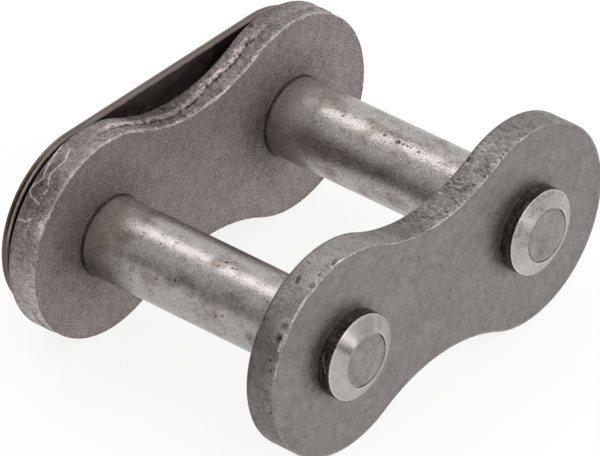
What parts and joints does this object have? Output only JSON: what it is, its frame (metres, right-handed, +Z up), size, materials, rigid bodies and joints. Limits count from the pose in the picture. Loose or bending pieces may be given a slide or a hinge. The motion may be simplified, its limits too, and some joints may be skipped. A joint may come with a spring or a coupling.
{
  "type": "roller chain connecting link",
  "caption": "Spring-clip connecting link: joins the two ends of a roller chain with pressed pins, a removable waisted plate and a flat clip in the pin grooves.",
  "frame": {"origin": "on the left pin's axis, midway between the two plates", "axes": "+X from the left pin to the right pin, +Y along the pins from their heads to the clip, +Z up across the plates"},
  "size_m": [0.0462, 0.038, 0.0208],
  "materials": {
    "plate_steel": "tumbled, dull warm grey, oiled, with sheared edges",
    "pin_steel": "ground bright, with faint stains and fine pits",
    "clip_steel": "tempered dark brown-grey spring steel"
  },
  "bodies": {
    "root": {"front_plate": "plate_steel", "connecting_plate": "plate_steel", "left_pin": "pin_steel", "right_pin": "pin_steel", "spring_clip": "clip_steel"}
  },
  "joints": []
}
